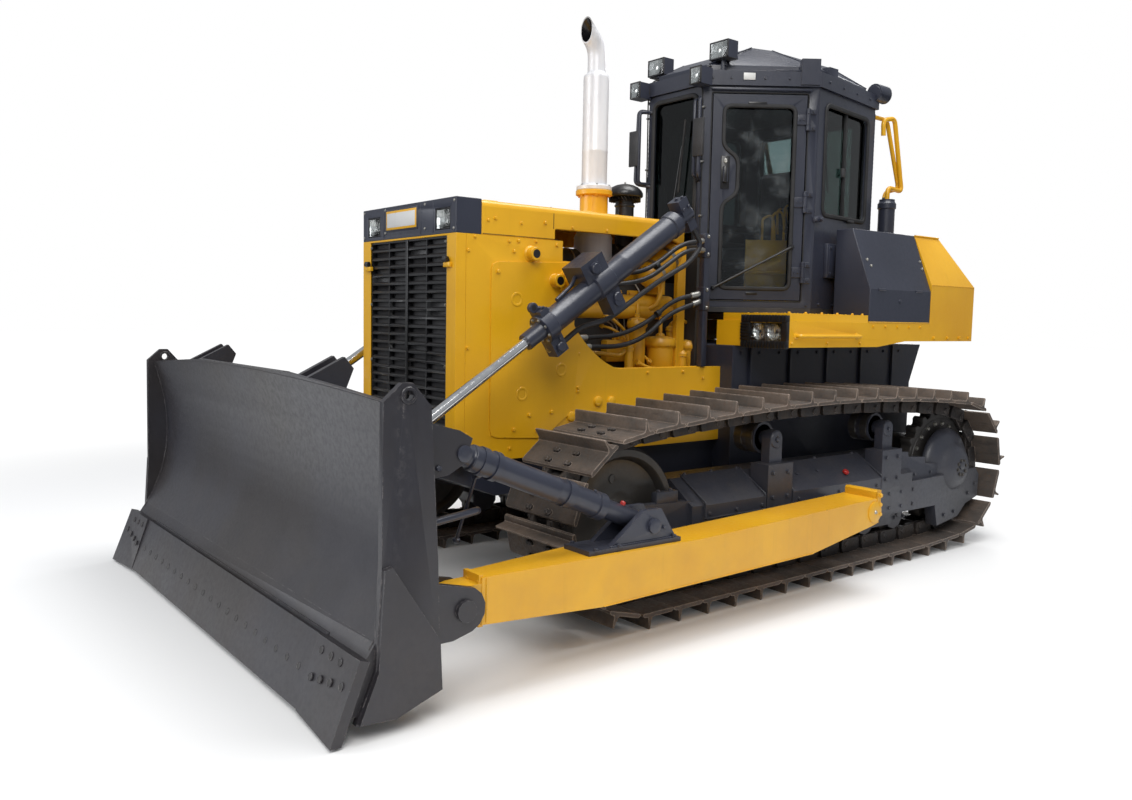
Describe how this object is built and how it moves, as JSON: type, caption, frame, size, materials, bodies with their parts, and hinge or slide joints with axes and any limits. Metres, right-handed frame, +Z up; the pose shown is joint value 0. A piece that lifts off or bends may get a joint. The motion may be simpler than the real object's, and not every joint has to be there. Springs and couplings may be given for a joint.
{
  "type": "bulldozer",
  "caption": "Crawler bulldozer with a straight blade on push arms, two lift cylinders, an open engine under a long hood, a five-sided glazed cab and a rear tank.",
  "frame": {"origin": "On the ground under the middle of the machine's length and width, at the grouser tips.", "axes": "+X is the machine's left side, -Y is the front where the blade is, +Z is up."},
  "size_m": [3.208, 5.4316, 3.4186],
  "materials": {
    "yellow_paint": "semi gloss machine enamel, worn",
    "slate_paint": "satin machine enamel",
    "blade_steel": "satin enamel scuffed by soil",
    "track_steel": "rusted brown with worn grousers",
    "wheel_steel": "dark oily cast steel",
    "black_metal": "matt",
    "bright_rod": "polished",
    "stack_white": "satin",
    "cab_glass": "tinted clear",
    "seat_cloth": "woven grey"
  },
  "bodies": {
    "machine": {"cab_floor": "slate_paint", "cab_front": "slate_paint", "cab_rear": "slate_paint", "cab_roof": "slate_paint", "cab_side_left": "slate_paint", "cab_side_right": "slate_paint", "drive_wheel_left": "wheel_steel", "drive_wheel_right": "wheel_steel", "engine": "yellow_paint", "equalizer_bar": "yellow_paint", "exhaust_stack": "stack_white", "fender_left": "yellow_paint", "fender_right": "yellow_paint", "grille": "black_metal", "headlamp_cap": "slate_paint", "hood": "yellow_paint", "hoses_left": "black_metal", "hoses_right": "black_metal", "idler_left": "wheel_steel", "idler_right": "wheel_steel", "main_frame": "slate_paint", "pre_cleaner": "slate_paint", "radiator_guard": "yellow_paint", "rear_glass": "cab_glass", "rear_tank": "yellow_paint", "seat": "seat_cloth", "side_box_left": "slate_paint", "side_box_right": "slate_paint", "side_frame_left": "yellow_paint", "side_frame_right": "yellow_paint", "side_glass_left": "cab_glass", "side_glass_right": "cab_glass", "track_frame_left": "slate_paint", "track_frame_right": "slate_paint", "track_left": "track_steel", "track_right": "track_steel", "windscreen": "cab_glass"},
    "blade": {"brace_left": "slate_paint", "brace_right": "slate_paint", "cutting_edge": "blade_steel", "moldboard": "blade_steel", "push_arm_left": "yellow_paint", "push_arm_right": "yellow_paint"},
    "barrel_l": {"barrel_left": "slate_paint"},
    "barrel_r": {"barrel_right": "slate_paint"},
    "rod_l": {"piston_rod_left": "bright_rod"},
    "rod_r": {"piston_rod_right": "bright_rod"},
    "door_l": {"door_glass_left": "cab_glass", "door_left": "slate_paint"},
    "door_r": {"door_glass_right": "cab_glass", "door_right": "slate_paint"}
  },
  "joints": [
    {"name": "blade_lift", "type": "hinge", "parent": "machine", "child": "blade", "pos_m": [0, 0.66, 0.477], "axis": [-1, 0, 0], "range_deg": [-6, 17]},
    {"name": "cylinder_swing_l", "type": "hinge", "parent": "machine", "child": "barrel_l", "pos_m": [0.75, -0.787, 1.755], "axis": [-1, 0, 0], "range_deg": [-9.5, 26.7]},
    {"name": "cylinder_stroke_l", "type": "slide", "parent": "barrel_l", "child": "rod_l", "axis": [0, 0.8369, 0.5474], "range_m": [-0.175, 0.494]},
    {"name": "cylinder_swing_r", "type": "hinge", "parent": "machine", "child": "barrel_r", "pos_m": [-0.75, -0.787, 1.755], "axis": [-1, 0, 0], "range_deg": [-9.5, 26.7]},
    {"name": "cylinder_stroke_r", "type": "slide", "parent": "barrel_r", "child": "rod_r", "axis": [0, 0.8369, 0.5474], "range_m": [-0.175, 0.494]},
    {"name": "door_hinge_l", "type": "hinge", "parent": "machine", "child": "door_l", "pos_m": [0.68943, 1.01503, 2.35], "axis": [0, 0, 1], "range_deg": [0, 110]},
    {"name": "door_hinge_r", "type": "hinge", "parent": "machine", "child": "door_r", "pos_m": [-0.68943, 1.01503, 2.35], "axis": [0, 0, -1], "range_deg": [0, 110]}
  ],
  "couplings": [
    {"joint": "cylinder_swing_l", "follows": "blade_lift", "ratio": 1.56},
    {"joint": "cylinder_stroke_l", "follows": "blade_lift", "m_per_rad": 1.66},
    {"joint": "cylinder_swing_r", "follows": "blade_lift", "ratio": 1.56},
    {"joint": "cylinder_stroke_r", "follows": "blade_lift", "m_per_rad": 1.66}
  ]
}
